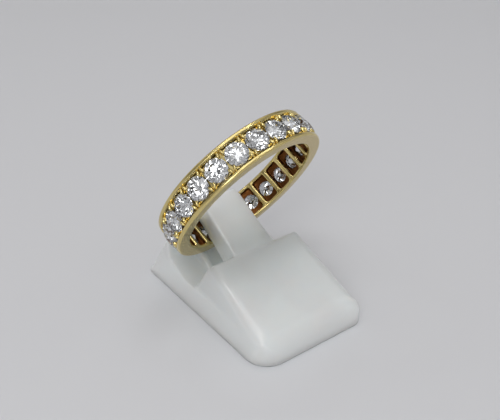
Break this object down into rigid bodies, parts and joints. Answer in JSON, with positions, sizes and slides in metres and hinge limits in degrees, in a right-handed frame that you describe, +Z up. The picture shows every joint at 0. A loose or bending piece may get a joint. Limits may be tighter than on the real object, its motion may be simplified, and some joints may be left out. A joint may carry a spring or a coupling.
{
  "type": "eternity ring on a display stand",
  "caption": "Full eternity ring with channel and grain set round brilliants, resting on the seat of a small frosted display stand whose tongue passes through the band.",
  "frame": {"origin": "centre of the stand's underside, on the table", "axes": "+Z up, +X across the stand and the band, +Y from the front block towards the back leg"},
  "size_m": [0.0216, 0.0242, 0.0251],
  "materials": {
    "yellow_gold": "polished yellow gold, satin on the side faces",
    "diamond": "colourless faceted diamond",
    "frosted_plastic": "frosted translucent polystyrene"
  },
  "bodies": {
    "root": {"ring_band": "yellow_gold", "display_stand": "frosted_plastic", "stone_01": "diamond", "stone_02": "diamond", "stone_03": "diamond", "stone_04": "diamond", "stone_05": "diamond", "stone_06": "diamond", "stone_07": "diamond", "stone_08": "diamond", "stone_09": "diamond", "stone_10": "diamond", "stone_11": "diamond", "stone_12": "diamond", "stone_13": "diamond", "stone_14": "diamond", "stone_15": "diamond", "stone_16": "diamond", "stone_17": "diamond", "stone_18": "diamond", "stone_19": "diamond", "stone_20": "diamond", "stone_21": "diamond", "stone_22": "diamond", "stone_23": "diamond"}
  },
  "joints": []
}
